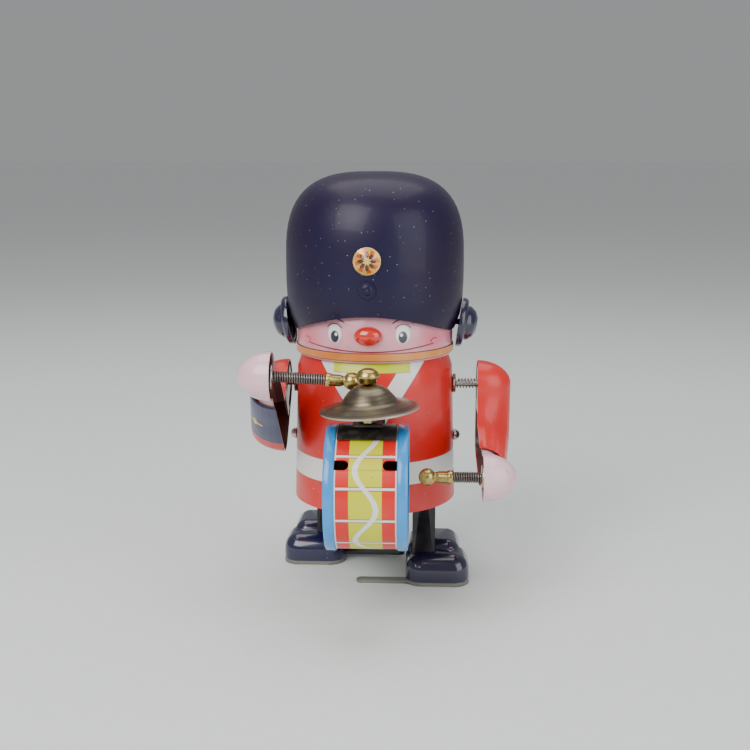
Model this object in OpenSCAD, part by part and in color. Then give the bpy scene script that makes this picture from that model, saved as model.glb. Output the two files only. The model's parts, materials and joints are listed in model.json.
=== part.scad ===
// Wind-up tin drummer in a tall guard's hat. Millimetres, +Z up, the drum faces -Y.
// Origin: on the floor, under the middle of the figure's bounding box.

/* [Coat] */
// Coat radius at the hem
coat_r = 25; // [24:0.1:25.2]
// Coat radius under the collar
collar_r = 23.8; // [23.6:0.1:24.4]
// Height of the hem above the floor
hem_z = 25; // [24.6:0.1:25.4]
// Thickness of the tinplate
tin = 0.5; // [0.4:0.05:0.55]

/* [Head] */
// Turn of the head to the figure's right
head_turn = 2.3; // [0:0.1:3]
// Radius of the face band
face_r = 23.8; // [23.4:0.1:23.9]
// Widest radius of the hat
hat_r = 27; // [26.6:0.1:28]
// Height of the hat's top above the floor
hat_top_z = 124.6; // [118:0.2:130]
// Radius of an ear cup
ear_r = 7.5; // [6.8:0.1:7.8]

/* [Drum and cymbal] */
// Radius of the drum over its hoops
drum_r = 17.4; // [16.8:0.1:17.5]
// Half the width of the drum over its hoops
drum_half_w = 11.2; // [11:0.1:11.5]
// Height of the drum's axis above the floor
drum_z = 39.4; // [39:0.1:39.6]
// Radius of the cymbal
cymbal_r = 13.7; // [12:0.1:14.5]
// Sideways lean of the loose cymbal
cymbal_lean = 4; // [0:0.5:4]

/* [Arms] */
// Distance of the drum arm's open edge from the figure's middle
arm_in = 31.6; // [31.2:0.1:32]
// Distance of the cymbal arm's open edge from the figure's middle
right_arm_in = 26.6; // [26.6:0.1:27.6]
// Distance of the drum arm's outermost point from the figure's middle
arm_out = 42; // [40:0.5:44]
// Radius of a sleeve
sleeve_r = 6.8; // [6.2:0.1:7]
// Angle that the cymbal arm is raised over the drum arm
raise = 48; // [48:0.5:49]
// Radius of the ball on a drumstick
ball_r = 2.5; // [2.2:0.05:2.6]

/* [Feet] */
// Width of a shoe
shoe_w = 19.5; // [18.5:0.5:20.5]
// Length of a shoe
shoe_l = 26.4; // [25:0.2:27]
// Height of a shoe
shoe_h = 10.5; // [9.5:0.1:11]
// Radius of the cranks that move the legs
crank_r = 8.7; // [8:0.1:8.7]

/* [Hidden] */
$fn = 64;
hull_fn = 28;
gap = 0.06;                // running clearance of a shaft in its hole
ahead = 10;                // the body stands this far behind the middle of the bounding box
aside = (right_arm_in - arm_in) / 2;   // and this far from it to the left
collar_z = 66;
neck_r = 22.2;             // the collar slopes in to the neck
neck_z = 70.6;
function coat_at(z) = coat_r + (collar_r - coat_r) * (z - hem_z) / (collar_z - hem_z);

nose_z = 78.2;
ear_z = 79.3;
ear_x = 25.8;              // middle of an ear cup's rim, clear of the hat
ear_lean = 9;              // the rim leans out at its top
drum_y = -44;
shell_r = drum_r - 0.5;
shell_half_w = drum_half_w - 1.2;
saddle_t = 0.6;
bracket_t = 0.7;
bracket_z = drum_z + shell_r + saddle_t + 0.05;
bracket_y = -coat_at(50) - 0.05;
bracket_rivet_z = 53;
post_r = 1;
cymbal_top = 68.3;

shoulder_z = 60;
shaft_r = 1;
bush_r = 2;
arm_depth = arm_out - arm_in;
hand_in = 32.2;
wrist_depth = arm_depth - 2.6;
neck_depth = 5.4;          // the hand's neck, inside the cuff
elbow = [-1, -17];         // forward and up from the shoulder, arm lowered
hand = [31, -21.3];
fore_a = atan2(hand[1] - elbow[1], hand[0] - elbow[0]);
wrist = elbow + 24 * [cos(fore_a), sin(fore_a)];

motor_z = 43.6;
crank_y = 0.2;
cheek_x = 9;
gear_m = 0.6;
crown_teeth = 20;
wheel_teeth = 20;
pinion_teeth = 8;
crown_r = gear_m * crown_teeth / 2;
governor_y = crank_y - gear_m * (wheel_teeth + pinion_teeth) / 2;
floor_z = 26.8;            // top of the base plate
frame_top = 55;
plate_t = 0.8;             // thickness of the frame's plates
axle_r = 0.9;              // crank and governor shafts
arbor_r = 1.5;             // key arbor
key_bush_r = 2.4;
screw_r = 0.9;             // holes of the side screws
leg_in = 12;
leg_w = 7;
leg_d = 6;
leg_top = 53;
guide_x = 15.5;
guide_z = [30, 37];
guide_r = 0.8;
shoe_in = 10;
toe_h = shoe_h - 1.3;      // height of the toe cap

// ---------- helpers ----------
module fig() translate([aside, ahead, 0]) children();
module on_head() fig() rotate([0, 0, -head_turn]) children();
module along_x(x, y, z, l, r) translate([x, y, z]) rotate([0, 90, 0]) cylinder(h = l, r = r);
module along_y(x, y, z, l, r) translate([x, y, z]) rotate([-90, 0, 0]) cylinder(h = l, r = r);
module both_sides() { children(); mirror([1, 0, 0]) children(); }
module turned(points) rotate_extrude($fn = 96) polygon(points);
// body of revolution around an axis that points to +X
module turned_x(x, y, z, points) translate([x, y, z]) rotate([0, 90, 0])
    rotate_extrude($fn = 96) polygon(points);

// gear outline with a tooth centred on the angle turn; thin is taken off each flank
function inv_point(base, a) = base * [cos(a) + a * PI / 180 * sin(a), sin(a) - a * PI / 180 * cos(a)];
function inv_angle(base, r) = sqrt(pow(r / base, 2) - 1) * 180 / PI;
function turn2(p, a) = [p[0] * cos(a) - p[1] * sin(a), p[0] * sin(a) + p[1] * cos(a)];
module gear2d(teeth, turn, thin) {
    pitch_r = gear_m * teeth / 2;
    base = pitch_r * cos(20);
    tip = pitch_r + 0.7 * gear_m;
    root = pitch_r - 1.1 * gear_m;
    at_pitch = inv_point(base, inv_angle(base, pitch_r));
    half = 90 / teeth + atan2(at_pitch[1], at_pitch[0]) - thin / pitch_r * 180 / PI;
    flank = [for (k = [0:3]) inv_point(base, k / 3 * inv_angle(base, tip))];
    polygon([for (t = [0:teeth - 1]) let (a = turn + t * 360 / teeth) each concat(
        [turn2([root, 0], a - half)],
        [for (p = flank) turn2(p, a - half)],
        [for (k = [3:-1:0]) turn2([flank[k][0], -flank[k][1]], a + half)],
        [turn2([root, 0], a + half)])]);
}
module gear_x(x, y, z, thick, teeth, bore, turn, thin) translate([x, y, z]) rotate([90, 0, 90])
    linear_extrude(thick) difference() { gear2d(teeth, turn, thin); circle(r = bore, $fn = 32); }

// ---------- body ----------
module coat_shell() color([0.92, 0.23, 0.19]) fig() difference() {
    turned([[coat_r, hem_z], [collar_r, collar_z], [neck_r, neck_z], [neck_r - tin, neck_z],
        [collar_r - tin, collar_z - 0.1], [coat_r - tin, hem_z]]);
    both_sides() along_x(20, 0, shoulder_z, 8, bush_r);
    both_sides() along_x(20, 0, motor_z, 8, screw_r);
    along_y(0, 20, motor_z, 8, key_bush_r);
    for (z = [bracket_rivet_z, drum_z]) along_y(0, -28, z, 8, 1);
}
module collar_deck() color([0.9, 0.88, 0.3]) fig()
    turned([[0, 66.6], [collar_r - 1.6, 66.6], [collar_r - 1.6, 67.2], [0, 67.2]]);
module base_plate() color([0.3, 0.3, 0.32]) fig() difference() {
    translate([0, 0, floor_z - 0.8]) cylinder(h = 0.8, r = 24.3, $fn = 96);
    both_sides() translate([leg_in - 0.5, -12.2, hem_z]) cube([leg_w + 1, 24.8, 4]);
}

// ---------- head ----------
module on_ear_axis() translate([ear_x, 0, ear_z]) rotate([0, ear_lean, 0])
    translate([-ear_x, 0, -ear_z]) children();
module face_shell() color([0.92, 0.75, 0.78]) on_head() difference() {
    turned([[0, 86], [22, 86], [face_r, 84], [face_r, 70.7], [23.4, 70.2], [22.8, 70.2],
        [face_r - tin, 70.9], [face_r - tin, 83.8], [21.8, 85.5], [0, 85.5]]);
    both_sides() on_ear_axis() along_x(20, 0, ear_z, 6, 0.92);
    along_y(0, -26, nose_z, 5, 1.2);
}
module chin_strap() color([0.88, 0.6, 0.28]) on_head()
    turned([[face_r + 0.01, 70.7], [face_r + 0.3, 70.9], [face_r + 0.3, 73], [face_r + 0.01, 73.2]]);
module nose_button() color([0.9, 0.27, 0.2]) on_head() {
    difference() {
        translate([0, -face_r, nose_z]) scale([4.1, 2.6, 2.85]) sphere(r = 1, $fn = 40);
        translate([0, 0, 60]) cylinder(h = 40, r = face_r + 0.01, $fn = 96);
    }
    along_y(0, -face_r - 1, nose_z, 2.2, 1.18);
    along_y(0, -face_r + tin + 0.15, nose_z, 0.6, 1.9);
}
crown_z = 98;              // height of the hat's widest place
crown_h = hat_top_z - crown_z;
crown_power = 2.9;         // 2 is round, more is squarer
function crown(r, h) = [for (i = [0:16]) let (a = 90 - 90 * i / 16)
    [r * pow(cos(a), 2 / crown_power), crown_z + h * pow(sin(a), 2 / crown_power)]];
function hat_at(z) = hat_r - 2.5 * pow((crown_z - z) / 20, 4);
hat_side = [92, 86, 82, 78];
brow_z = 84;               // top of the arch in the rim
brow_r = 47;
rivet_z = 91.8;            // rivet under the badge
boss_r = 2.6;
module hat_shell() color([0.13, 0.13, 0.36]) on_head() difference() {
    turned(concat(crown(hat_r, crown_h),
        [for (z = hat_side) [hat_at(z), z]], [for (k = [3:-1:0]) [hat_at(hat_side[k]) - tin, hat_side[k]]],
        [for (i = [16:-1:0]) crown(hat_r - tin, crown_h - tin)[i]]));
    // the rim arches over the forehead
    translate([0, -1, brow_z - brow_r]) rotate([90, 0, 0]) cylinder(h = 40, r = brow_r, $fn = 180);
    both_sides() on_ear_axis() along_x(20, 0, ear_z, 8, 0.92);
    along_y(0, -30, rivet_z, 6, 0.9);
}
module hat_badge() color([0.85, 0.65, 0.25]) on_head() along_y(0, -hat_r - 0.4, 100, 0.38, 3.95);
module hat_rivet() color([0.15, 0.15, 0.38]) on_head() {
    translate([0, -hat_at(rivet_z + boss_r) - 0.03, rivet_z]) rotate([90, 0, 0])
        rotate_extrude() polygon([[0, 0], [boss_r, 0], [2.5, 0.2], [1.5, 0.3], [1.2, 0.55], [0, 0.6]]);
    // the stud starts inside the boss
    along_y(0, -hat_r - 0.3, rivet_z, 2, 0.88);
    along_y(0, -hat_r + tin + 0.55, rivet_z, 0.5, 1.7);
}
module ear() on_ear_axis() turned_x(ear_x, 0, ear_z, [[ear_r, 0], [ear_r, 1.2], [ear_r - 0.6, 1.9],
    [5.4, 2.1], [5.1, 3.2], [4.1, 4.5], [2.4, 5.4], [0, 5.65], [0, 5.15], [2.2, 4.9], [3.8, 4.1],
    [4.6, 2.9], [4.9, 1.6], [ear_r - 0.9, 1.4], [ear_r - 0.5, 1.0], [ear_r - 0.5, 0]]);
module left_ear() color([0.13, 0.13, 0.36]) on_head() ear();
module right_ear() color([0.13, 0.13, 0.36]) on_head() mirror([1, 0, 0]) ear();
module ear_rivets() color("silver") on_head() both_sides() on_ear_axis() {
    along_x(21.6, 0, ear_z, ear_x + 5.05 - 21.6, 0.9);
    along_x(21.6, 0, ear_z, 1.2, 1.9);
}

// ---------- drum ----------
module drum_shell() color([0.95, 0.85, 0.25]) fig() difference() {
    along_x(-shell_half_w, drum_y, drum_z, 2 * shell_half_w, shell_r);
    along_x(-drum_half_w, drum_y, drum_z, 2 * drum_half_w, shell_r - tin);
    translate([0, drum_y, drum_z]) rotate([-36, 0, 0]) both_sides() {
        translate([5.9, -20, -1.4]) cube([2.4, 8, 2.8]);
        along_y(5.9, -20, 0, 8, 1.4);
    }
    along_y(0, drum_y + 10, drum_z, 10, 1);
    translate([0, drum_y, drum_z + 10]) cylinder(h = 10, r = post_r, $fn = 32);
}
module hoop() turned_x(0, drum_y, drum_z, [[shell_r + 0.02, 8.3], [drum_r - 0.2, 8.3], [drum_r, 8.6],
    [drum_r, drum_half_w - 0.3], [drum_r - 0.3, drum_half_w], [16.3, drum_half_w],
    [16.3, drum_half_w - 0.4], [shell_r + 0.02, drum_half_w - 0.4]]);
module left_drum_hoop() color([0.45, 0.75, 0.95]) fig() hoop();
module right_drum_hoop() color([0.45, 0.75, 0.95]) fig() mirror([1, 0, 0]) hoop();
module skin() along_x(shell_half_w + 0.05, drum_y, drum_z, 0.5, shell_r - 0.05);
module left_drum_head() color([0.95, 0.93, 0.86]) fig() skin();
module right_drum_head() color([0.95, 0.93, 0.86]) fig() mirror([1, 0, 0]) skin();
module cymbal_saddle() color([0.25, 0.24, 0.25]) fig() difference() {
    along_x(-8, drum_y, drum_z, 16, shell_r + saddle_t);
    along_x(-9, drum_y, drum_z, 18, shell_r + 0.02);
    translate([-10, drum_y - 20, drum_z - 20]) cube([20, 40, 20 + 15.4]);
    translate([0, drum_y, drum_z + 10]) cylinder(h = 10, r = post_r, $fn = 32);
}
module drum_bracket() color([0.25, 0.24, 0.25]) fig() difference() {
    union() {
        translate([-4, drum_y - 3, bracket_z]) cube([8, bracket_y - drum_y + 3, bracket_t]);
        translate([-4, bracket_y - bracket_t, 50]) cube([8, bracket_t, bracket_z + bracket_t - 50]);
    }
    translate([0, drum_y, bracket_z - 1]) cylinder(h = 3, r = post_r, $fn = 32);
    along_y(0, -28, bracket_rivet_z, 8, 1);
}
module drum_rivets() color("silver") fig() {
    along_y(0, bracket_y - bracket_t - 0.05, bracket_rivet_z, 2.7, 0.95);
    along_y(0, bracket_y - bracket_t - 0.55, bracket_rivet_z, 0.5, 1.7);
    along_y(0, bracket_y + 1.6, bracket_rivet_z, 0.5, 1.7);
    along_y(0, drum_y + shell_r - 1.2, drum_z, 5, 0.95);
    along_y(0, drum_y + shell_r - 1.6, drum_z, 0.6, 1.7);
    along_y(0, drum_y + shell_r + 3.6, drum_z, 0.6, 1.7);
}
module cymbal_post() color([0.75, 0.66, 0.3]) fig() translate([0, drum_y, 0]) {
    translate([0, 0, drum_z + shell_r - 1.2]) cylinder(h = 72 - drum_z - shell_r + 1.2, r = post_r - 0.02);
    translate([0, 0, drum_z + shell_r - 1.6]) cylinder(h = 0.8, r = 2);
    translate([0, 0, 61.1]) cylinder(h = 6.3, r = 1.8);
}
module cymbal_lower_nut() color([0.78, 0.68, 0.3]) fig() translate([0, drum_y, bracket_z + bracket_t + 0.02])
    difference() { cylinder(h = 3, r = 2.4, $fn = 6); translate([0, 0, -1]) cylinder(h = 6, r = post_r); }
module cymbal() color([0.5, 0.46, 0.38]) fig()
    translate([0, drum_y, cymbal_top]) rotate([0, -cymbal_lean, 0])
        turned([[1.3, 0], [2.5, -0.15], [4, -0.75], [5.6, -1.95], [6.8, -3.4], [7.8, -4.8], [cymbal_r, -6.6],
        [cymbal_r, -7], [7.6, -5.2], [6.5, -3.8], [5.4, -2.4], [3.9, -1.2], [2.4, -0.58], [1.3, -0.42]]);
module cymbal_cap_nut() color([0.75, 0.66, 0.3]) fig() translate([0, drum_y, 68.75]) difference() {
    turned([[0, 0], [2.4, 0], [2.4, 1.2], [3.15, 1.4], [3.15, 2.1], [2.6, 3.1], [1.5, 3.8], [0, 4.1]]);
    translate([0, 0, -1]) cylinder(h = 4.4, r = post_r);
}

// ---------- frame and motor ----------
module motor_plate(y) difference() {
    translate([-cheek_x, y, floor_z]) cube([2 * cheek_x, plate_t, frame_top - floor_z]);
    along_y(0, y - 1, motor_z, 3, arbor_r + gap);
}
module motor_front_plate() color([0.65, 0.62, 0.5]) fig() motor_plate(7);
module motor_back_plate() color([0.65, 0.62, 0.5]) fig() motor_plate(15.2);
module motor_cheeks() color([0.65, 0.62, 0.5]) fig() both_sides() difference() {
    translate([cheek_x, -12, floor_z]) cube([plate_t, 28, frame_top - floor_z]);
    for (y = [crank_y, governor_y]) along_x(cheek_x - 1, y, motor_z, 3, axle_r + gap);
}
module motor_pillars() color("silver") fig()
    for (z = [30, 52.5]) along_x(-cheek_x, -10.4, z, 2 * cheek_x, 1.2);
module frame_bridge() color([0.65, 0.62, 0.5]) fig() both_sides() difference() {
    union() {
        translate([-0.1, 3, frame_top]) cube([21.6, 6, 1]);
        translate([19.5, -3, frame_top]) cube([3.7, 6.4, 1]);
        translate([22.5, -3, frame_top - 15]) cube([0.7, 6, 16]);
        translate([13.2, -2.5, frame_top]) cube([0.8, 11.5, 7.5]);
    }
    along_x(12, 0, shoulder_z, 4, shaft_r + gap);
    along_x(20, 0, motor_z, 8, screw_r);
}
module side_screws() color("silver") fig() both_sides() {
    along_x(22.3, 0, motor_z, 3.6, screw_r - 0.02);
    turned_x(coat_at(motor_z) + 0.09, 0, motor_z, [[0, 0], [1.75, 0], [1.6, 0.8], [1.1, 1.6], [0, 2]]);
}
module shoulder_bushes() color([0.75, 0.65, 0.35]) fig() both_sides() difference() {
    union() {
        along_x(22.2, 0, shoulder_z, 2.8, bush_r - 0.02);
        along_x(24.05, 0, shoulder_z, 0.9, 2.9);
    }
    along_x(20, 0, shoulder_z, 8, shaft_r + gap);
}
module key_bush() color([0.75, 0.65, 0.35]) fig() difference() {
    union() { along_y(0, 22.6, motor_z, 3.6, key_bush_r - 0.02); along_y(0, 24.6, motor_z, 0.8, 3.4); }
    along_y(0, 20, motor_z, 8, arbor_r + gap);
}
module leg_guides() color("silver") fig() both_sides() {
    for (y = [-15.3, 14.5]) translate([guide_x - 1, y, floor_z]) cube([2, 0.8, 12.6]);
    for (z = guide_z) along_y(guide_x, -15.3, z, 30.6, guide_r);
}
module mainspring() color([0.4, 0.42, 0.5]) fig() translate([0, 14.2, motor_z]) rotate([90, 0, 0])
    linear_extrude(5.6) polygon(concat(
        [for (i = [0:96]) (1.9 + 6.4 * i / 96) * [cos(15 * i), sin(15 * i)]],
        [for (i = [96:-1:0]) (1.62 + 6.4 * i / 96) * [cos(15 * i), sin(15 * i)]]));
module key_arbor() color("silver") fig() along_y(0, 4.72, motor_z, 25.2, arbor_r);
module key_grip() color([0.75, 0.75, 0.78]) fig() difference() {
    union() {
        along_y(0, 27, motor_z, 6.5, 2.6);
        translate([0, 0, motor_z - 0.5]) hull() for (x = [-5.5, 5.5])
            translate([x, 35.9, 0]) cylinder(h = 1, r = 5.5, $fn = 32);
    }
    along_y(0, 26, motor_z, 3.95, arbor_r);
    for (x = [-6.2, 6.2]) translate([x, 36, 40]) cylinder(h = 8, r = 2.6);
}
module crown_wheel() color([0.8, 0.68, 0.35]) fig() difference() {
    union() {
        along_y(0, 4.7, motor_z, 1, crown_r + 0.9);
        for (k = [0:crown_teeth - 1]) let (a = (k + 0.5) * 360 / crown_teeth)
            translate([crown_r * cos(a), 2.7, motor_z + crown_r * sin(a)]) rotate([-90, 0, 0])
                cylinder(h = 2.1, r = 0.35, $fn = 16);
    }
    along_y(0, 4, motor_z, 3, arbor_r);
}
module crank_shaft() color("silver") fig() along_x(-11, crank_y, motor_z, 22, axle_r);
module crank_pinion() color([0.8, 0.68, 0.35]) fig()
    gear_x(crown_r - 0.8, crank_y, motor_z, 1.6, pinion_teeth, axle_r, 0, 0.24);
module drive_wheel() color([0.8, 0.68, 0.35]) fig()
    gear_x(-8.6, crank_y, motor_z, 0.8, wheel_teeth, axle_r, 0, 0.11);
module crank_disc(pin_y) {
    difference() { along_x(10.15, crank_y, motor_z, 0.85, 10); along_x(9, crank_y, motor_z, 3, axle_r); }
    along_x(10.5, crank_y + pin_y, motor_z, 1.1, 0.7);
}
module crank_discs() color([0.6, 0.6, 0.62]) fig() {
    crank_disc(-crank_r);
    mirror([1, 0, 0]) crank_disc(crank_r);
}
module governor_shaft() color("silver") fig() {
    along_x(-9.8, governor_y, motor_z, 19.6, axle_r);
    gear_x(-8.9, governor_y, motor_z, 1.4, pinion_teeth, 0.8, 22.5, 0.11);
}
module flywheel() color([0.8, 0.68, 0.35]) fig() difference() {
    along_x(-2.5, governor_y, motor_z, 5, 5);
    along_x(-4, governor_y, motor_z, 8, axle_r);
}

// ---------- arms ----------
// moves a drawing of the left arm to its place, swung up about the shoulder
module arm_place(swing) translate([arm_in, 0, shoulder_z]) rotate([-swing, 0, 0]) children();
module knob(p, r, depth) translate([0, -p[0], p[1]]) scale([depth / r, 1, 1])
    sphere(r = r, $fn = hull_fn);
module arm_solid(grow) {
    hull() {
        knob([0, 0], sleeve_r + 0.4 + grow, arm_depth + grow);
        knob(elbow, sleeve_r + grow, arm_depth + grow);
    }
    hull() {
        knob(elbow, sleeve_r + grow, arm_depth + grow);
        knob(wrist, sleeve_r - 0.6 + grow, wrist_depth + grow);
    }
}
module sleeve(swing) arm_place(swing) difference() {
    arm_solid(0);
    arm_solid(-tin);
    translate([-20, -60, -50]) cube([20, 100, 100]);
    translate([-1, -wrist[0], wrist[1]]) rotate([-fore_a, 0, 0])
        translate([0, -20, -12]) cube([20, 20, 24]);
}
module hand_shell(swing) arm_place(swing) translate([hand_in - arm_in, -hand[0], hand[1]]) difference() {
    union() {
        scale([(arm_out - hand_in) / 7, 1, 1]) sphere(r = 7, $fn = 40);
        rotate([-fore_a, 0, 0]) scale([neck_depth / 4.9, 1, 1]) rotate([-90, 0, 0])
            cylinder(h = 11, r = 4.9);
    }
    scale([(arm_out - hand_in - tin) / (7 - tin), 1, 1]) sphere(r = 7 - tin, $fn = 40);
    rotate([-fore_a, 0, 0]) scale([(neck_depth - tin) / 4.4, 1, 1]) rotate([-90, 0, 0])
        cylinder(h = 12, r = 4.4);
    translate([-20, -30, -30]) cube([20, 60, 60]);
}
module arm_lug(swing) arm_place(swing) difference() {
    union() {
        translate([0.1, -3, -7]) cube([0.8, 6, 12]);
        translate([0.1, -5.7, -9]) cube([0.8, 11.4, 3]);
    }
    along_x(-1, 0, 0, 3, shaft_r + 0.01);
}
// a shoulder shaft that ends just outside the arm's open edge
module shoulder_shaft(edge) along_x(12.6, 0, shoulder_z, edge - 11.4, shaft_r);
// the cymbal arm, drawn on the left
module on_right() mirror([1, 0, 0]) translate([right_arm_in - arm_in, 0, 0]) children();
module left_shoulder_shaft() color("silver") fig() shoulder_shaft(arm_in);
module left_arm_lug() color([0.8, 0.8, 0.78]) fig() arm_lug(0);
module left_sleeve() color([0.92, 0.23, 0.19]) fig() sleeve(0);
module left_hand() color([0.94, 0.84, 0.88]) fig() hand_shell(0);
module right_shoulder_shaft() color("silver") fig() mirror([1, 0, 0]) {
    shoulder_shaft(right_arm_in);
    difference() {
        union() {
            along_x(15.5, 0, shoulder_z, 1, 2.2);
            translate([15.5, -0.9, 54.2]) cube([1, 1.8, 5]);
        }
        along_x(15, 0, shoulder_z, 2, shaft_r - 0.1);
    }
}
module right_arm_lug() color([0.8, 0.8, 0.78]) fig() on_right() arm_lug(raise);
module right_sleeve() color([0.92, 0.23, 0.19]) fig() on_right() sleeve(raise);
module right_hand() color([0.94, 0.84, 0.88]) fig() on_right() hand_shell(raise);
// coil that pushes the drum arm back out
spring_from = 25;
spring_to = arm_in + 0.05;
module left_return_spring() color([0.75, 0.76, 0.7]) fig() {
    for (k = [0:6]) translate([spring_from + 0.3 + k * (spring_to - spring_from - 0.6) / 6, 0, shoulder_z])
        rotate([0, 90, 0]) rotate_extrude($fn = 48) translate([1.38, 0]) circle(r = 0.24, $fn = 16);
    translate([spring_from + 0.06, -0.12, shoulder_z + 1.28])
        cube([spring_to - spring_from - 0.12, 0.24, 0.2]);
}

// drumsticks lie along a line from the hand to the middle of the ball
right_root = [-27.8, -37.2, 68.9];
right_ball = [-4.9, -35.2, 67.3];
left_root = [32.8, -31, 38.7];
left_ball = [16.3, -31, 38.7];
module on_line(from, to) { d = to - from;
    translate(from) rotate([0, acos(d[2] / norm(d)), atan2(d[1], d[0])]) children(); }
module stick_rod(from, to) on_line(from, to) {
    cylinder(h = norm(to - from) - 7.4, r = 1.6);
    cylinder(h = 0.8, r = 3.6);
}
module stick_ball(from, to) on_line(from, to) { l = norm(to - from);
    rotate_extrude() polygon(concat([[0, l - 7.38], [1.9, l - 7.38], [2.0, l - 6.2], [1.7, l - 5.6],
        [1.7, l - 3.4], [1.3, l - 2.2]],
        [for (a = [-50:10:90]) [ball_r * cos(a), l + ball_r * sin(a)]])); }
module right_stick_rod() color([0.55, 0.5, 0.48]) fig() stick_rod(right_root, right_ball);
module right_stick_ball() color([0.8, 0.68, 0.35]) fig() stick_ball(right_root, right_ball);
module left_stick_rod() color([0.55, 0.5, 0.48]) fig() stick_rod(left_root, left_ball);
module left_stick_ball() color([0.8, 0.68, 0.35]) fig() stick_ball(left_root, left_ball);

// ---------- legs; y is the middle of the leg ----------
module sole_plate(y) {
    for (x = [5, shoe_w - 5], d = [5, shoe_l - 5])
        translate([shoe_in + x, y + d, 0]) cylinder(h = 0.9, r = 5);
    translate([shoe_in + 5, y, 0]) cube([shoe_w - 10, shoe_l, 0.9]);
    translate([shoe_in, y + 5, 0]) cube([shoe_w, shoe_l - 10, 0.9]);
}
module leg(y, bar_y, bar_to, bar_z) {
    difference() {
        translate([leg_in, y - leg_d / 2, 0.8]) cube([leg_w, leg_d, leg_top - 0.8]);
        translate([leg_in + tin, y - leg_d / 2 + tin, 2]) cube([leg_w - 2 * tin, leg_d - 2 * tin, leg_top]);
        for (z = guide_z) along_y(guide_x, y - 5, z, 10, guide_r + gap);
        translate([leg_in - 1, y - 0.85, 34]) cube([2, 1.7, leg_top]);
    }
    // sole with its stabiliser bar
    sole_plate(y - 8.9);
    if (bar_z > 0) translate([shoe_in + 0.6, bar_y - 1.75, 0.8]) cube([1.2, 3.5, bar_z]);
    translate([bar_to, bar_y - 1.75, bar_z]) cube([shoe_in + 1.8 - bar_to, 3.5, 0.8]);
    translate([bar_to, bar_y, bar_z]) cylinder(h = 0.8, r = 1.75);
}
// a broad, low toe cap and a narrower, higher heel
module shoe_solid(grow) {
    hull() for (x = [shoe_in + 5, shoe_in + shoe_w - 5]) {
        for (y = [5, shoe_l - 5]) translate([x, y, 0]) cylinder(h = 1.6, r = 5 + grow, $fn = hull_fn);
        translate([x, 5, toe_h - 5]) sphere(r = 5 + grow, $fn = hull_fn);
        translate([x, 11.5, toe_h - 5]) sphere(r = 5 + grow, $fn = hull_fn);
    }
    hull() for (x = [shoe_in + 4.5, shoe_in + shoe_w - 7]) {
        for (y = [9, shoe_l - 5]) translate([x, y, 0]) cylinder(h = 1.6, r = 4.5 + grow, $fn = hull_fn);
        translate([x, 12, shoe_h - 3.5]) sphere(r = 4.5 + grow, $fn = hull_fn);
        translate([x, shoe_l - 5.5, shoe_h - 3.5]) sphere(r = 4.5 + grow, $fn = hull_fn);
    }
}
// notched at bar_y for the stabiliser bar
module shoe(y, bar_y) difference() {
    translate([0, y - 8.9, 0]) shoe_solid(0);
    translate([0, y - 8.9, -0.02]) shoe_solid(-tin);
    translate([0, -40, -1]) cube([50, 90, 1.95]);
    translate([leg_in - 0.2, y - leg_d / 2 - 0.2, 3]) cube([leg_w + 0.4, leg_d + 0.4, 12]);
    translate([shoe_in - 1, bar_y - 1.9, 0]) cube([2.9, 3.8, 2.4]);
}
module left_leg() color([0.2, 0.18, 0.22]) fig() leg(-crank_r + crank_y, -13.3, -3.4, 0);
module right_leg() color([0.2, 0.18, 0.22]) fig() mirror([1, 0, 0]) leg(crank_r + crank_y, 8, -7.6, 1.4);
module left_shoe() color([0.15, 0.16, 0.42]) fig() shoe(-crank_r + crank_y, -60);
module right_shoe() color([0.15, 0.16, 0.42]) fig() mirror([1, 0, 0]) shoe(crank_r + crank_y, 8);

coat_shell();
collar_deck();
base_plate();
face_shell();
chin_strap();
nose_button();
hat_shell();
hat_badge();
hat_rivet();
right_ear();
left_ear();
ear_rivets();
drum_shell();
right_drum_hoop();
left_drum_hoop();
right_drum_head();
left_drum_head();
drum_bracket();
cymbal_saddle();
drum_rivets();
cymbal_post();
cymbal_lower_nut();
cymbal();
cymbal_cap_nut();
motor_front_plate();
motor_back_plate();
motor_cheeks();
motor_pillars();
frame_bridge();
side_screws();
shoulder_bushes();
key_bush();
leg_guides();
mainspring();
key_grip();
key_arbor();
crown_wheel();
crank_shaft();
crank_pinion();
drive_wheel();
crank_discs();
governor_shaft();
flywheel();
right_shoulder_shaft();
right_arm_lug();
right_sleeve();
right_hand();
right_stick_rod();
right_stick_ball();
left_shoulder_shaft();
left_arm_lug();
left_sleeve();
left_hand();
left_stick_rod();
left_stick_ball();
left_return_spring();
right_leg();
right_shoe();
left_leg();
left_shoe();
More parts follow.
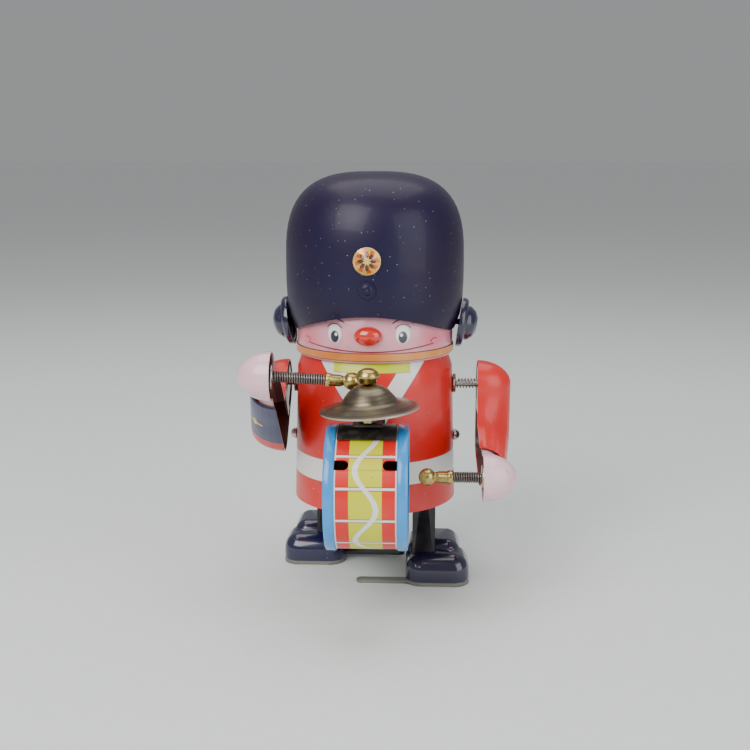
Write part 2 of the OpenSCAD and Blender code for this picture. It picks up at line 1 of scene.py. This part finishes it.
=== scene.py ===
import json
import math
import bmesh
import bpy
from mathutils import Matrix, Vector


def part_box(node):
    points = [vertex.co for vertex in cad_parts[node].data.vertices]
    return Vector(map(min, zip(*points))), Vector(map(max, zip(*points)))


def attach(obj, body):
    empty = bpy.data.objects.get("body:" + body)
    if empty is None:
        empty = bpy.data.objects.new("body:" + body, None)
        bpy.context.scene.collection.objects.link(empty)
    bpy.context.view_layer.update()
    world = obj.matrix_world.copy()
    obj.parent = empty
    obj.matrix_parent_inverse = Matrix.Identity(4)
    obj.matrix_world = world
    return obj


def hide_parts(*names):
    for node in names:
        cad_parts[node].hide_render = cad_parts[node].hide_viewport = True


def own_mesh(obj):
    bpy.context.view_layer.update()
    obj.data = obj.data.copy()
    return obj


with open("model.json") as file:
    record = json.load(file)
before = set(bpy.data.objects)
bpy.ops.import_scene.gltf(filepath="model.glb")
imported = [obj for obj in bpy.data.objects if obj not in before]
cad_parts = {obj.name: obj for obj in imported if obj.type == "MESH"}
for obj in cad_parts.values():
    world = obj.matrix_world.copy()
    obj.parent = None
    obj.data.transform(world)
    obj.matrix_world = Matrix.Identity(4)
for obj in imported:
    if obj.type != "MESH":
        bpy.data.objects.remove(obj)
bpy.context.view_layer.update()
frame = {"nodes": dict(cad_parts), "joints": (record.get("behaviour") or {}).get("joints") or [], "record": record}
MM = 0.001
coat_lo, coat_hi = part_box("coat_shell")
# the figure's own axis, which runs up the middle of the coat
ASIDE, AHEAD = (coat_lo[0] + coat_hi[0]) / 2, (coat_lo[1] + coat_hi[1]) / 2
# the head looks this far towards the figure's right
HEAD_TURN = math.radians(2.3)
# places in millimetres from the figure's own axis and the ground, as the solids have them
SHOULDER_Z = 60
DRUM_Y, DRUM_Z = -44, 39.4
BADGE_Z = 100
BELT = (33.6, 40.4)
COLLAR_Z, COLLAR_HALF = 67.2, 11.2
SLOT_OF = {row["node"]: row["material_slot"] for row in frame["record"]["subparts"]}
BODY_OF = {n: b for b, nodes in frame["record"]["behaviour"]["bodies"].items() for n in nodes}


def at(x, y, z):
    """A point given in millimetres from the figure's own axis, in the row frame."""
    return Vector((x * MM + ASIDE, y * MM + AHEAD, z * MM))


# ---------- camera, light and floor ----------
def make_camera():
    """The camera that was fitted to the photograph."""
    turn, reach, height, aim = math.radians(2.5), 343, 129, 62.3
    data = bpy.data.cameras.new("camera")
    data.lens, data.sensor_width = 54.05, 36
    camera = bpy.data.objects.new("camera", data)
    camera.location = at(reach * math.sin(turn), -reach * math.cos(turn), height)
    camera.rotation_euler = (at(0, 0, aim) - camera.location).to_track_quat("-Z", "Y").to_euler()
    bpy.context.scene.collection.objects.link(camera)
    bpy.context.scene.camera = camera


# name, place in metres, width and height in metres, watts, colour
LIGHTS = (
    ("key_light", (-0.32, -0.5, 0.52), (0.5, 0.5), 5.2, (1, 0.98, 0.95)),
    ("fill_light", (0.52, -0.42, 0.3), (0.5, 0.6), 2.4, (0.95, 0.98, 1)),
    ("top_light", (0.0, 0.12, 0.6), (0.6, 0.5), 2.0, (1, 1, 1)),
)
SKY, SKY_STRENGTH = (0.86, 0.89, 0.9, 1), 0.36
# the floor is a little under the soles, in metres
FLOOR_SIZE, FLOOR_Z = 60, -0.00005


def area_light(name, place, size, power, colour, target):
    data = bpy.data.lights.new(name, "AREA")
    data.shape, data.size, data.size_y = "RECTANGLE", size[0], size[1]
    data.energy, data.color = power, colour
    light = bpy.data.objects.new(name, data)
    light.location = place
    light.rotation_euler = (Vector(target) - Vector(place)).to_track_quat("-Z", "Y").to_euler()
    bpy.context.scene.collection.objects.link(light)


def make_studio():
    world = bpy.data.worlds.new("studio")
    world.use_nodes = True
    background = world.node_tree.nodes["Background"]
    background.inputs[0].default_value = SKY
    background.inputs[1].default_value = SKY_STRENGTH
    bpy.context.scene.world = world
    middle = at(0, -10, 62)
    for row in LIGHTS:
        area_light(*row, middle)
    bpy.ops.mesh.primitive_plane_add(size=FLOOR_SIZE, location=(0, 0, FLOOR_Z))
    floor = bpy.context.active_object
    floor.name = "floor"
    paint = Paint("floor_card")
    fine = paint.noise(220, 3)
    card = paint.tint((0.74, 0.79, 0.77), (0.80, 0.84, 0.82), fine)
    # paler far away, so that the card meets the background without a line
    distance, _ = paint.polar(paint.x, paint.y)
    card = paint.tint(card, (0.97, 0.97, 0.97), distance.above(700, 500))
    paint.finish(card, roughness=0.7, bump=fine, depth=0.02)
    floor.data.materials.append(paint.material)


# ---------- procedural paint ----------
class Value:
    """A number on a surface, built from math nodes. Operators make the node tree."""

    def __init__(self, paint, socket):
        self.paint, self.socket = paint, socket

    def _op(self, kind, *others):
        node = self.paint.new("ShaderNodeMath")
        node.operation = kind
        for k, item in enumerate((self,) + others):
            self.paint.plug(item, node.inputs[k])
        return Value(self.paint, node.outputs[0])

    def __add__(self, other): return self._op("ADD", other)
    def __sub__(self, other): return self._op("SUBTRACT", other)
    def __mul__(self, other): return self._op("MULTIPLY", other)
    def __truediv__(self, other): return self._op("DIVIDE", other)
    def absolute(self): return self._op("ABSOLUTE")
    def square(self): return self._op("POWER", 2.0)
    def root(self): return self._op("SQRT")
    def sine(self): return self._op("SINE")
    def cosine(self): return self._op("COSINE")
    def arctan(self, other): return self._op("ARCTAN2", other)

    def wrap(self, low, high):
        """The value brought back between low and high."""
        node = self.paint.new("ShaderNodeMath")
        node.operation = "WRAP"
        self.paint.plug(self, node.inputs[0])
        node.inputs[1].default_value, node.inputs[2].default_value = high, low
        return Value(self.paint, node.outputs[0])

    def below(self, edge, soft=0.06):
        """1 where the value is under edge, 0 over it, with a soft printed edge."""
        node = self.paint.new("ShaderNodeMapRange")
        self.paint.plug(self, node.inputs[0])
        for k, number in enumerate((edge - soft, edge + soft, 1.0, 0.0)):
            node.inputs[k + 1].default_value = number
        return Value(self.paint, node.outputs[0])

    def above(self, edge, soft=0.06): return (self * -1.0).below(-edge, soft)
    def between(self, low, high, soft=0.06): return self.above(low, soft) * self.below(high, soft)
    def close_to(self, centre, half, soft=0.06): return (self - centre).absolute().below(half, soft)


# how far a roughness map moves the roughness in all, and how rough every clear coat is
ROUGH_SPREAD, COAT_ROUGHNESS = 0.22, 0.06


class Paint:
    """A material whose places are in millimetres from the figure's own axis."""

    def __init__(self, name):
        self.material = bpy.data.materials.new(name)
        self.material.use_nodes = True
        self.tree = self.material.node_tree
        self.shader = self.tree.nodes["Principled BSDF"]
        self.coords = self.new("ShaderNodeTexCoord")
        move = self.new("ShaderNodeVectorMath")
        move.operation = "MULTIPLY_ADD"
        self.tree.links.new(self.coords.outputs["Object"], move.inputs[0])
        move.inputs[1].default_value = (1000, 1000, 1000)
        move.inputs[2].default_value = (-ASIDE / MM, -AHEAD / MM, 0)
        self.place = move.outputs[0]
        split = self.new("ShaderNodeSeparateXYZ")
        self.tree.links.new(self.place, split.inputs[0])
        self.x, self.y, self.z = (Value(self, split.outputs[k]) for k in range(3))
        facing = self.new("ShaderNodeSeparateXYZ")
        self.tree.links.new(self.coords.outputs["Normal"], facing.inputs[0])
        self.nx = Value(self, facing.outputs[0])
        # x across the face, which is turned a little to the figure's right
        self.head_x = self.x * math.cos(HEAD_TURN) - self.y * math.sin(HEAD_TURN)

    def new(self, kind):
        return self.tree.nodes.new(kind)

    def plug(self, item, socket):
        if isinstance(item, Value):
            self.tree.links.new(item.socket, socket)
        elif isinstance(item, bpy.types.NodeSocket):
            self.tree.links.new(item, socket)
        else:
            socket.default_value = item

    def noise(self, scale, detail=4, stretch=(1, 1, 1), place=None):
        """Noise whose grains are about 1/scale metres across. stretch makes them finer along an axis."""
        node = self.new("ShaderNodeTexNoise")
        fit = self.new("ShaderNodeVectorMath")
        fit.operation = "MULTIPLY"
        self.tree.links.new(place or self.place, fit.inputs[0])
        fit.inputs[1].default_value = [s * scale / 1000 for s in stretch]
        self.tree.links.new(fit.outputs[0], node.inputs["Vector"])
        node.inputs["Scale"].default_value = 1.0
        node.inputs["Detail"].default_value = detail
        return Value(self, node.outputs[0])

    def specks(self, scale, share):
        """Small dots: 1 inside a few of a cell pattern's cells."""
        node = self.new("ShaderNodeTexVoronoi")
        self.tree.links.new(self.place, node.inputs["Vector"])
        node.inputs["Scale"].default_value = scale / 1000
        dot = Value(self, node.outputs["Distance"]).below(0.16, 0.05)
        split = self.new("ShaderNodeSeparateColor")
        self.tree.links.new(node.outputs["Color"], split.inputs[0])
        return dot * Value(self, split.outputs[0]).below(share, 0.01)

    def polar(self, u, v):
        """Radius and angle of a point (u, v)."""
        return (u.square() + v.square()).root(), v.arctan(u)

    def vector(self, a, b, c):
        join = self.new("ShaderNodeCombineXYZ")
        for k, item in enumerate((a, b, c)):
            self.plug(item, join.inputs[k])
        return join.outputs[0]

    def tint(self, below, over, mask):
        """Colour below, with colour over laid on it where mask is 1."""
        node = self.new("ShaderNodeMix")
        node.data_type = "RGBA"
        self.plug(mask, node.inputs[0])
        for k, colour in ((6, below), (7, over)):
            if isinstance(colour, tuple):
                node.inputs[k].default_value = (*colour, 1)
            else:
                self.plug(colour, node.inputs[k])
        return node.outputs[2]

    def finish(self, colour, roughness, metallic=0.0, coat=0.0, bump=None, depth=0.1, rough_map=None,
               specular=0.5):
        """Connects the shader. depth is the bump's height in millimetres; rough_map varies the roughness."""
        if isinstance(colour, tuple):
            colour = (*colour, 1)
        self.plug(colour, self.shader.inputs["Base Color"])
        if rough_map is None:
            self.shader.inputs["Roughness"].default_value = roughness
        else:
            spread = rough_map * ROUGH_SPREAD + (roughness - ROUGH_SPREAD / 2)
            self.plug(spread, self.shader.inputs["Roughness"])
        self.shader.inputs["Metallic"].default_value = metallic
        self.shader.inputs["Specular IOR Level"].default_value = specular
        self.shader.inputs["Coat Weight"].default_value = coat
        self.shader.inputs["Coat Roughness"].default_value = COAT_ROUGHNESS
        if bump is not None:
            node = self.new("ShaderNodeBump")
            node.inputs["Distance"].default_value = depth * MM
            self.plug(bump, node.inputs["Height"])
            self.tree.links.new(node.outputs[0], self.shader.inputs["Normal"])


RED_SHADE, CHEEK, SMILE = (0.62, 0.02, 0.02), (0.85, 0.12, 0.2), (0.30, 0.02, 0.03)
RED, WHITE, YELLOW = (0.70, 0.012, 0.008), (0.80, 0.78, 0.77), (0.62, 0.66, 0.0)
NAVY, BARE = (0.007, 0.004, 0.036), (0.55, 0.53, 0.48)
# the dark red-brown for a half shell's hollow is painted shade with a painted reflection of the red coat, laid
# over bare tin
SKIN, DARK, HOLLOW_SHADE_RED = (0.80, 0.34, 0.42), (0.02, 0.018, 0.022), (0.13, 0.035, 0.03)
BLUE, STRAP, PLUM = (0.03, 0.30, 0.74), (0.68, 0.17, 0.015), (0.10, 0.02, 0.05)
CUFF, EMBLEM = (0.02, 0.025, 0.10), (0.8, 0.5, 0.08)


# the share of cells that hold a dust dot, and the share that hold a chip
DUST, CHIPS = 0.025, 0.0175


def worn(paint, colour):
    """Litho print over tin: slow shade changes, dust dots and small chips."""
    colour = paint.tint(colour, (0.6, 0.6, 0.6), paint.noise(90, 2).above(0.6, 0.12) * 0.04)
    colour = paint.tint(colour, (0.75, 0.73, 0.7), paint.specks(900, DUST) * 0.55)
    return paint.tint(colour, DARK, paint.specks(620, CHIPS) * 0.6)


def litho(paint, colour, gloss=0.34, coat=0.18):
    """Glossy printed tin with a faint orange-peel ripple."""
    ripple = paint.noise(420, 3)
    paint.finish(worn(paint, colour), gloss, coat=coat, bump=ripple, depth=0.02,
                 rough_map=paint.noise(160, 4))


def coat_red(p):
    """Red coat with two white lapels that meet in a V, a yellow collar and a white belt."""
    front, side = p.y.below(0, 0.3), p.x.absolute()
    lapel_foot, lapel_slope, lapel_half, chest_z = 51, 0.64, 3.1, 47.5
    lapel_at = (p.z - lapel_foot) * lapel_slope
    lapel = (side - lapel_at).absolute()
    on_chest = p.z.above(chest_z) * front
    colour = p.tint(RED, RED_SHADE, p.noise(40, 2).above(0.55, 0.2) * 0.4)
    colour = p.tint(colour, DARK, lapel.close_to(lapel_half + 0.05, 0.1) * on_chest * 0.7)
    colour = p.tint(colour, WHITE, lapel.below(lapel_half) * on_chest)
    colour = p.tint(colour, YELLOW, p.z.above(COLLAR_Z) * side.below(COLLAR_HALF) * front)
    colour = p.tint(colour, DARK, p.z.close_to(COLLAR_Z, 0.12) * side.below(COLLAR_HALF) * front * 0.5)
    colour = p.tint(colour, WHITE, p.z.between(BELT[0], BELT[1]))
    for edge in BELT:
        colour = p.tint(colour, (0.3, 0.05, 0.05), p.z.close_to(edge, 0.1) * 0.6)
    # bare tin inside the wall, which leans in by taper from foot to collar
    radius, _ = p.polar(p.x, p.y)
    foot, taper, inside, deck = 25, 0.0293, 24.75, 66
    bare = (radius + (p.z - foot) * taper).below(inside, 0.05) * p.z.below(deck)
    colour = p.tint(colour, BARE, bare)
    litho(p, colour)


def half_shell(p, colour, inward):
    """The unpainted hollow of a stamped half shell, coloured dark red-brown as painted shade with a painted
    reflection of the red coat, and its bare cut edge, which faces the body squarely.
    """
    # painted shade and a painted reflection of the red coat inside the hollow
    colour = p.tint(colour, HOLLOW_SHADE_RED, inward.above(0.03, 0.02))
    return p.tint(colour, BARE, inward.above(0.985, 0.01))


def sleeve_paint(p, side, lift):
    """Red half shell with a bare inner edge and an unpainted inside, which is given painted shade and a painted
    reflection of the red coat. The right one has a dark cuff.
    """
    forearm_dip, behind, drop = 7.65, 1, 17
    up, turn = math.radians(lift - forearm_dip), math.radians(lift)
    # the elbow, turned about the shoulder
    elbow_y = behind * math.cos(turn) - drop * math.sin(turn)
    elbow_z = SHOULDER_Z - drop * math.cos(turn) - behind * math.sin(turn)
    along = (p.y - elbow_y) * -math.cos(up) + (p.z - elbow_z) * math.sin(up)
    across = (p.y - elbow_y) * math.sin(up) + (p.z - elbow_z) * math.cos(up)
    colour = p.tint(RED, RED_SHADE, p.noise(60, 2).above(0.55, 0.2) * 0.4)
    if side < 0:
        cuff = along.between(3.2, 25) * across.below(7.5)
        colour = p.tint(colour, CUFF, cuff)
        # a gold emblem with four lobes
        radius, angle = p.polar(along - 12, across + 3.6)
        colour = p.tint(colour, EMBLEM, (radius - (angle * 4).cosine() * 0.5).below(1.3))
    litho(p, half_shell(p, colour, p.nx * -side))


EYE_X = 9.9
# the white, the pupil and the glint of an eye: x, z, half width, half height, soft edge, colour
EYE_PARTS = (
    (EYE_X, 78.6, 1.95, 2.7, 0.1, (0.9, 0.9, 0.9)),
    (EYE_X, 77.7, 1.25, 1.75, 0.1, (0.03, 0.035, 0.05)),
    (9.5, 78.4, 0.4, 0.5, 0.2, (0.95, 0.95, 0.95)),
)


def face_pink(p):
    """Printed cheeks, eyes with lids and brows, and a long smile that turns up at its ends."""
    side, front = p.head_x.absolute(), p.y.below(0, 0.3)

    def oval(x, z, a, b, soft):
        return (((side - x) / a).square() + ((p.z - z) / b).square()).root().below(1, soft) * front

    def arc(x, z, radius, half, low):
        r, _ = p.polar(side - x, p.z - z)
        return r.close_to(radius, half, 0.07) * p.z.above(low) * front

    colour = p.tint(SKIN, (0.84, 0.44, 0.50), p.noise(50, 2).above(0.5, 0.2) * 0.5)
    colour = p.tint(colour, CHEEK, oval(18.6, 76.2, 3.8, 2.8, 0.6) * 0.75)
    for x, z, half_x, half_z, soft, shade in EYE_PARTS:
        colour = p.tint(colour, shade, oval(x, z, half_x, half_z, soft))
    for radius, half, low in ((2.6, 0.16, 80.3), (4.1, 0.2, 81.7)):   # lid, brow
        colour = p.tint(colour, PLUM, arc(EYE_X, 78.9, radius, half, low))
    smile_z, smile_bend, smile_half = 73.5, 0.0046, 18.5
    smile = p.z - smile_z - side.square() * smile_bend
    colour = p.tint(colour, SMILE, smile.close_to(0, 0.22, 0.08) * side.below(smile_half) * front)
    colour = p.tint(colour, SMILE, arc(18.9, 75.4, 1.2, 0.16, 75.5) * side.below(19.4))
    litho(p, colour, 0.3, 0.45)


def navy(p):
    colour = p.tint(NAVY, (0.014, 0.004, 0.026), p.noise(28, 3).above(0.5, 0.15))
    colour = p.tint(colour, (0.6, 0.6, 0.72), p.specks(1500, 0.035) * 0.75)
    colour = p.tint(colour, (0.30, 0.20, 0.22), p.specks(1100, 0.05) * 0.6)
    p.finish(colour, 0.42, coat=0.08, bump=p.noise(500, 3), depth=0.025, rough_map=p.noise(120, 4),
             specular=0.32)


def ear_navy(p):
    colour = p.tint(NAVY, (0.6, 0.6, 0.7), p.specks(1500, 0.03) * 0.6)
    # the cup's bare rim, on the side of the head
    edge = p.nx.absolute().above(0.985, 0.01) * p.x.absolute().below(26.6, 0.05)
    colour = p.tint(colour, BARE, edge)
    p.finish(colour, 0.24, coat=0.9, bump=p.noise(500, 3), depth=0.025, rough_map=p.noise(120, 4))


def badge_gold(p):
    """A generic rosette: red rays, a dark star with a pale heart, and a gold rim."""
    radius, angle = p.polar(p.head_x, p.z - BADGE_Z)
    rays = (angle * 8).sine().above(0, 0.25) * radius.below(3.3)
    colour = p.tint((0.78, 0.42, 0.06), (0.66, 0.11, 0.008), rays)
    star = radius - (angle * 4).cosine().absolute() * 1.5
    colour = p.tint(colour, (0.10, 0.03, 0.015), star.below(1.25, 0.1))
    heart = radius - (angle * 4).sine().absolute() * 0.7
    colour = p.tint(colour, (0.9, 0.62, 0.15), heart.below(0.55, 0.1))
    colour = p.tint(colour, (0.80, 0.48, 0.12), radius.above(3.45, 0.08))
    p.finish(colour, 0.28, metallic=0.25, coat=0.7, bump=p.noise(600, 3), depth=0.03)


def drum_print(p):
    """A yellow band between red ones, crossed by white lines, with a white wave round the middle."""
    side = p.x.absolute()
    _, turn = p.polar((p.y - DRUM_Y) * -1.0, p.z - DRUM_Z)
    waves, wave_height, wave_start = 5, 2.8, math.radians(31)
    wave = p.x + ((turn - wave_start) * waves).cosine() * wave_height
    step, first_line, shell_r = math.tau / 12, math.radians(44.5), 16.9
    line = (turn - first_line).wrap(-step / 2, step / 2).absolute() * shell_r
    colour = p.tint(YELLOW, (0.66, 0.58, 0.01), p.noise(60, 2).above(0.5, 0.2) * 0.5)
    colour = p.tint(colour, RED, side.above(4.4))
    colour = p.tint(colour, (0.3, 0.05, 0.03), line.close_to(0.45, 0.14) * 0.8)
    colour = p.tint(colour, WHITE, line.below(0.32))
    colour = p.tint(colour, WHITE, wave.absolute().below(0.75))
    colour = p.tint(colour, WHITE, side.above(7.9))
    litho(p, colour)


def flat_print(colour, gloss=0.3, coat=0.5):
    """A painter for one printed colour."""
    def paint(p):
        darker = tuple(c * 0.75 for c in colour)
        litho(p, p.tint(colour, darker, p.noise(70, 3).above(0.52, 0.15) * 0.6), gloss, coat)
    return paint


def drum_skin(p):
    """Pale skin, a little darker by the hoop."""
    radius, _ = p.polar(p.y - DRUM_Y, p.z - DRUM_Z)
    colour = p.tint((0.80, 0.76, 0.66), (0.62, 0.55, 0.42), p.noise(120, 5).above(0.52, 0.12) * 0.5)
    colour = p.tint(colour, (0.55, 0.48, 0.36), radius.above(14.6, 0.9) * 0.5)
    p.finish(colour, 0.4, coat=0.25, bump=p.noise(700, 4), depth=0.03, rough_map=p.noise(160, 4))


def metal(colour, gloss, grain=1, tarnish=0.35):
    """A painter for bare metal, drawn along the axis grain and slightly tarnished."""
    def paint(p):
        stretch = [(1, 8, 8), (8, 1, 8), (8, 8, 1)][grain]
        scratch = p.noise(450, 4, stretch)
        darker = tuple(c * 0.42 for c in colour)
        dull = p.tint(colour, darker, p.noise(180, 5).above(0.5, 0.14) * tarnish)
        p.finish(p.tint(dull, darker, scratch.above(0.58, 0.1) * 0.3), gloss, metallic=1.0, bump=scratch,
                 depth=0.02, rough_map=p.noise(260, 4))
    return paint


def cymbal_bronze(p):
    """Turned bronze: fine rings round the post, brown patches and a bright rim."""
    radius, angle = p.polar(p.x, p.y - DRUM_Y)
    rings = p.noise(1000, 5, (2.6, 1, 1), p.vector(radius, angle * 0.4, 0.0))
    colour = p.tint((0.33, 0.28, 0.20), (0.17, 0.14, 0.095), rings.above(0.5, 0.2))
    colour = p.tint(colour, (0.10, 0.08, 0.06), p.noise(110, 5).above(0.55, 0.1) * 0.55)
    colour = p.tint(colour, (0.6, 0.55, 0.47), radius.above(13.3, 0.12) * 0.8)
    p.finish(colour, 0.34, metallic=1.0, bump=rings, depth=0.05, rough_map=p.noise(240, 4))


def hand_pink(p):
    """Pale pink hand, with the hollow of a half shell in painted shade and a painted reflection of the red coat.
    inward is above 0 where it faces the body.
    """
    inward = p.nx * p.x / p.x.absolute() * -1.0
    colour = p.tint((0.84, 0.56, 0.63), (0.80, 0.44, 0.52), p.noise(80, 2).above(0.5, 0.2) * 0.5)
    litho(p, half_shell(p, colour, inward), 0.28, 0.5)


def dark_steel(p):
    colour = p.tint((0.045, 0.04, 0.042), (0.16, 0.14, 0.12), p.noise(260, 5).above(0.56, 0.1))
    p.finish(colour, 0.42, metallic=0.55, bump=p.noise(700, 4), depth=0.03, rough_map=p.noise(200, 4))


def leg_black(p):
    colour = p.tint((0.012, 0.010, 0.015), (0.04, 0.036, 0.045), p.noise(150, 5).above(0.56, 0.1))
    colour = p.tint(colour, (0.25, 0.25, 0.2), p.z.below(0.92, 0.02) * 0.7)
    p.finish(colour, 0.5, coat=0.12, bump=p.noise(600, 4), depth=0.03, rough_map=p.noise(200, 4))


def shoe_navy(p):
    colour = p.tint((0.007, 0.009, 0.055), (0.012, 0.009, 0.035), p.noise(60, 3).above(0.5, 0.15))
    colour = p.tint(colour, (0.5, 0.5, 0.6), p.specks(1300, 0.03) * 0.6)
    colour = p.tint(colour, (0.32, 0.31, 0.3), p.z.below(1.15, 0.12) * 0.75)
    p.finish(colour, 0.22, coat=0.8, bump=p.noise(450, 3), depth=0.02, rough_map=p.noise(130, 4))


def nose_red(p):
    colour = p.tint((0.72, 0.03, 0.015), (0.58, 0.015, 0.01), p.noise(180, 3).above(0.5, 0.15) * 0.6)
    p.finish(colour, 0.16, coat=1.0, bump=p.noise(500, 2), depth=0.012, rough_map=p.noise(200, 3))


def strap_orange(p):
    middle_z = 71.95
    edge = (p.z - middle_z).absolute()
    colour = p.tint(STRAP, (0.82, 0.42, 0.12), p.noise(90, 3).above(0.5, 0.2) * 0.6)
    litho(p, p.tint(colour, PLUM, edge.above(1.0, 0.08) * 0.85))


PAINTERS = {
    "coat_red": coat_red, "collar_yellow": flat_print(YELLOW), "face_pink": face_pink,
    "strap_orange": strap_orange, "nose_red": nose_red, "navy": navy, "badge_gold": badge_gold,
    "drum_print": drum_print, "hoop_blue": flat_print(BLUE), "drum_skin": drum_skin,
    "dark_steel": dark_steel, "steel": metal((0.56, 0.55, 0.52), 0.3, 1),
    "coil_steel": metal((0.27, 0.22, 0.21), 0.3, 1, 0.6), "spring_steel": metal((0.16, 0.18, 0.26), 0.3, 0),
    "brass": metal((0.64, 0.49, 0.17), 0.26, 2, 0.5), "plate_steel": metal((0.5, 0.46, 0.34), 0.35, 2),
    "cymbal_bronze": cymbal_bronze, "hand_pink": hand_pink, "leg_black": leg_black, "shoe_navy": shoe_navy,
}
BUILT = {}


def material_of(name, painter):
    if name not in BUILT:
        paint = Paint(name)
        painter(paint)
        BUILT[name] = paint.material
    return BUILT[name]


# ---------- pieces from the CAD solids ----------
# the width in millimetres of the rounded edges on pieces that show a thick edge
BEVELS = {"coat_shell": 0.12, "left_drum_hoop": 0.25, "right_drum_hoop": 0.25, "key_grip": 0.2,
          "drum_bracket": 0.12, "cymbal_saddle": 0.1, "cymbal_lower_nut": 0.2, "left_arm_lug": 0.15,
          "right_arm_lug": 0.15}
SHARP, BEVEL_FROM = math.radians(34), math.radians(50)
WELD, TINY = 2e-6, 1e-6
RIGHT_LIFT = 48


def refined(node):
    """A smooth-shaded copy of a CAD node that stands for it, with small rounded edges on some."""
    source = frame["nodes"][node]
    mesh = bpy.data.meshes.new(node + "_mesh")
    work = bmesh.new()
    work.from_mesh(source.data)
    bmesh.ops.remove_doubles(work, verts=work.verts, dist=WELD)
    bmesh.ops.dissolve_degenerate(work, dist=TINY, edges=work.edges)
    for face in work.faces:
        face.smooth = True
    work.to_mesh(mesh)
    work.free()
    mesh.set_sharp_from_angle(angle=SHARP)
    piece = bpy.data.objects.new(node + "_skin", mesh)
    bpy.context.scene.collection.objects.link(piece)
    if node in BEVELS:
        bevel = piece.modifiers.new("rounded_edges", "BEVEL")
        bevel.width, bevel.segments = BEVELS[node] * MM, 2
        bevel.limit_method, bevel.angle_limit = "ANGLE", BEVEL_FROM
    name = SLOT_OF[node]
    painter = PAINTERS[name]
    if node in ("left_sleeve", "right_sleeve"):
        side, lift = (1.0, 0) if node == "left_sleeve" else (-1.0, RIGHT_LIFT)
        name, painter = node + "_print", lambda p: sleeve_paint(p, side, lift)
    if node in ("left_ear", "right_ear"):
        name, painter = "ear_enamel", ear_navy
    if node == "shoulder_bushes":
        name, painter = "bush_plate", metal((0.56, 0.50, 0.36), 0.3, 0)
    mesh.materials.clear()
    mesh.materials.append(material_of(name, painter))
    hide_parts(node)
    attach(piece, BODY_OF[node])


# ---------- wound wire ----------
def tube_mesh(name, points, radius, sides=10):
    """A round wire along a list of points."""
    work = bmesh.new()
    rings = []
    for k, point in enumerate(points):
        ahead = points[min(k + 1, len(points) - 1)] - points[max(k - 1, 0)]
        out = ahead.cross(Vector((0.31, 0.87, 0.4))).normalized()   # any line that no wire here runs along
        up = ahead.cross(out).normalized()
        rings.append([work.verts.new(point + radius * (math.cos(t) * out + math.sin(t) * up))
                      for t in (math.tau * s / sides for s in range(sides))])
    for a, b in zip(rings, rings[1:]):
        for s in range(sides):
            work.faces.new((a[s], a[(s + 1) % sides], b[(s + 1) % sides], b[s])).smooth = True
    work.faces.new(rings[0][::-1])
    work.faces.new(rings[-1])
    bmesh.ops.recalc_face_normals(work, faces=work.faces)
    mesh = bpy.data.meshes.new(name)
    work.to_mesh(mesh)
    work.free()
    piece = bpy.data.objects.new(name, mesh)
    bpy.context.scene.collection.objects.link(piece)
    return piece


def helix(start, end, radius, turns, per_turn=20):
    """Points of a coil that goes from start to end."""
    along = end - start
    out = along.cross(Vector((0, 0.6, 0.8))).normalized()   # any line that no coil here runs along
    up = along.cross(out).normalized()
    count = int(turns * per_turn)
    points = []
    for k in range(count + 1):
        angle = math.tau * turns * k / count
        points.append(start + along * (k / count) + radius * (math.cos(angle) * out + math.sin(angle) * up))
    return points


def stick_coil(side, root, ball):
    """The close-wound coil that carries a stick's ball, over a thin core, from a plate in the hand."""
    body = side + "_arm"
    plate_t, ferrule, pitch = 0.9, 7.5, 0.68
    coil_r, wire_r, core_r, plate_r = 1.28 * MM, 0.32 * MM, 1.05 * MM, 3.6 * MM
    line = (ball - root).normalized()
    start, end = root + line * plate_t * MM, ball - line * ferrule * MM
    turns = (end - start).length / (pitch * MM)
    coil = tube_mesh(side + "_stick_coil", helix(start, end, coil_r, turns, 16), wire_r, 8)
    coil.data.materials.append(material_of("coil_steel", PAINTERS["coil_steel"]))
    core = tube_mesh(side + "_stick_core", [start, end], core_r, 16)
    core.data.materials.append(material_of("dark_steel", PAINTERS["dark_steel"]))
    plate = tube_mesh(side + "_stick_plate", [root, start], plate_r, 32)
    plate.data.materials.append(material_of("steel", PAINTERS["steel"]))
    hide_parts(side + "_stick_rod")
    for piece, slot in ((coil, "coil_steel"), (core, "coil_steel"), (plate, "steel")):
        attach(piece, body)


def return_spring():
    """The open coil between the coat and the drum arm, made at one fixed length; the real one shortens as the arm
    beats.
    """
    coat_x, lug_x, turns = 25, 31.65, 6.5
    coil_r, wire_r = 1.38 * MM, 0.22 * MM
    start, end = at(25.25, 0, SHOULDER_Z), at(31.4, 0, SHOULDER_Z)
    spring = tube_mesh("left_shoulder_coil", helix(start, end, coil_r, turns, 24), wire_r, 10)
    spring.data.materials.append(material_of("steel", PAINTERS["steel"]))
    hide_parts("left_return_spring")
    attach(spring, "figure")
    travel = next(j for j in frame["joints"] if j["name"] == "left_arm_beat")["range_m"][1]
    length = at(lug_x, 0, SHOULDER_Z).x - at(coat_x, 0, SHOULDER_Z).x
    1 - travel / length
    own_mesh(spring)


make_camera()
make_studio()
# these nodes are shown as wound wire instead of a copy of their solids
WOUND = ("left_return_spring", "left_stick_rod", "right_stick_rod")
for name in sorted(frame["nodes"]):
    if name not in WOUND:
        refined(name)
# a stick goes from its root in the hand to the middle of its ball
stick_coil("right", at(-27.8, -37.2, 68.9), at(-4.9, -35.2, 67.3))
stick_coil("left", at(32.8, -31, 38.7), at(16.3, -31, 38.7))
return_spring()
